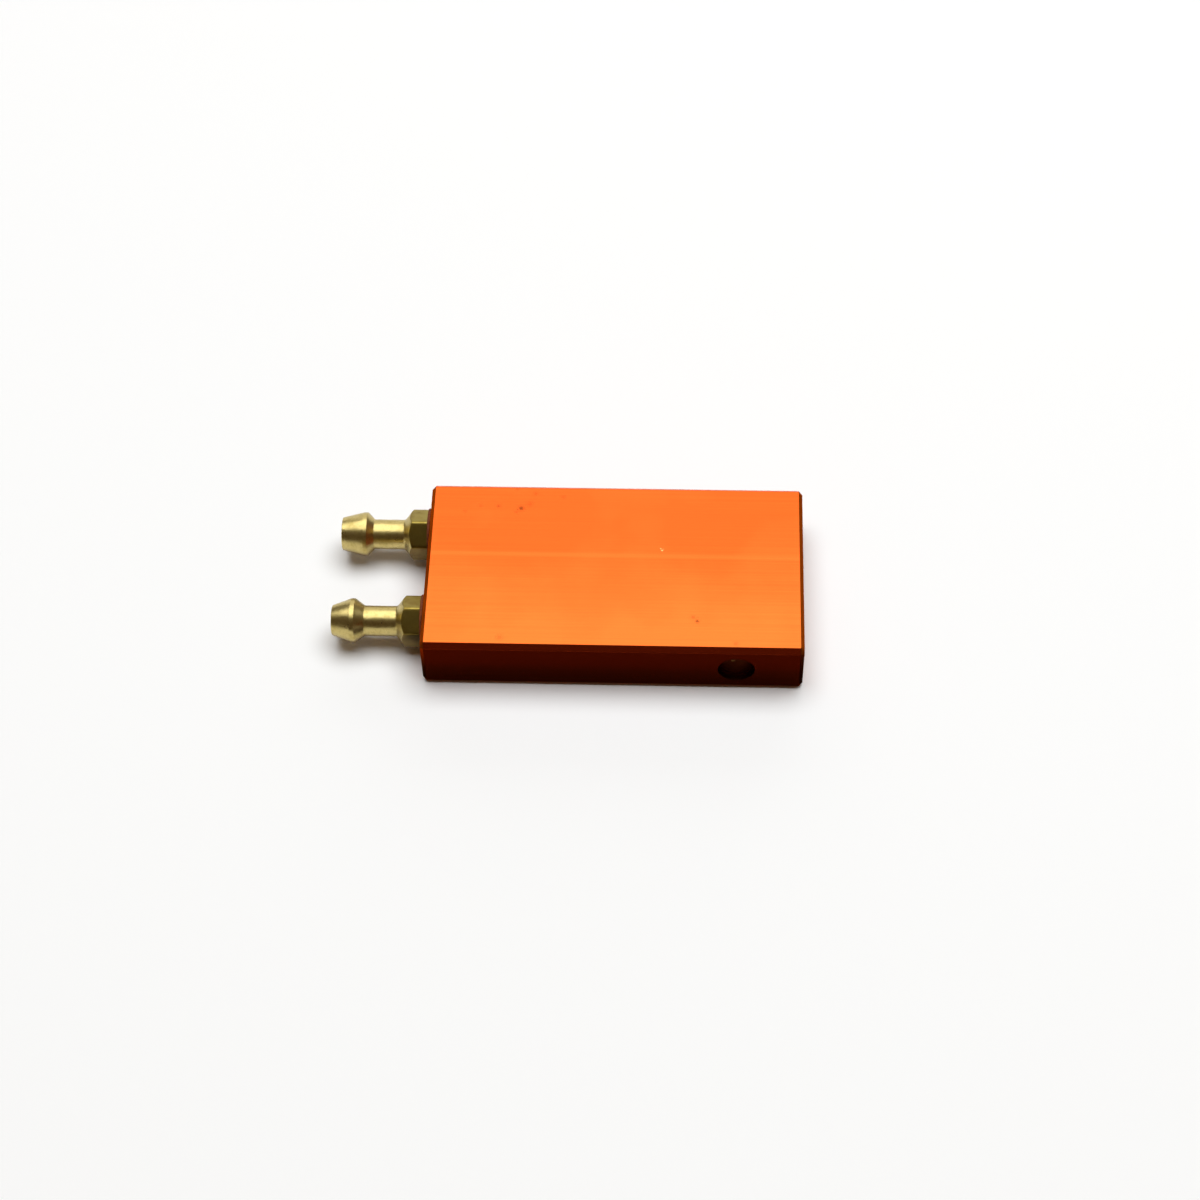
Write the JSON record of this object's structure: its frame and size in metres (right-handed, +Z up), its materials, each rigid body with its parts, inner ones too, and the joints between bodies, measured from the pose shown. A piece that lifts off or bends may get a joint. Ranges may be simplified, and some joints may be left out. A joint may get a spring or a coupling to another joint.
{
  "type": "liquid cooling cold plate",
  "caption": "Small anodised aluminium cold plate with a drilled U-shaped coolant path and screwed-in brass barbed hose nozzles at one end.",
  "frame": {"origin": "centre of the block's bottom face, which beds on the part to be cooled", "axes": "+X along the block away from the nozzles, +Y towards the long side without the plug, +Z up out of the top face"},
  "size_m": [0.0518, 0.0226, 0.007],
  "materials": {
    "anodised_aluminium": "satin orange anodising over extruded bar",
    "turned_brass": "bright turned, lightly tarnished",
    "red_fibre": "vulcanised fibre, matt"
  },
  "bodies": {
    "root": {"cooling_block": "anodised_aluminium", "channel_plug": "anodised_aluminium", "front_nozzle": "turned_brass", "rear_nozzle": "turned_brass", "front_nozzle_washer": "red_fibre", "rear_nozzle_washer": "red_fibre"}
  },
  "joints": []
}
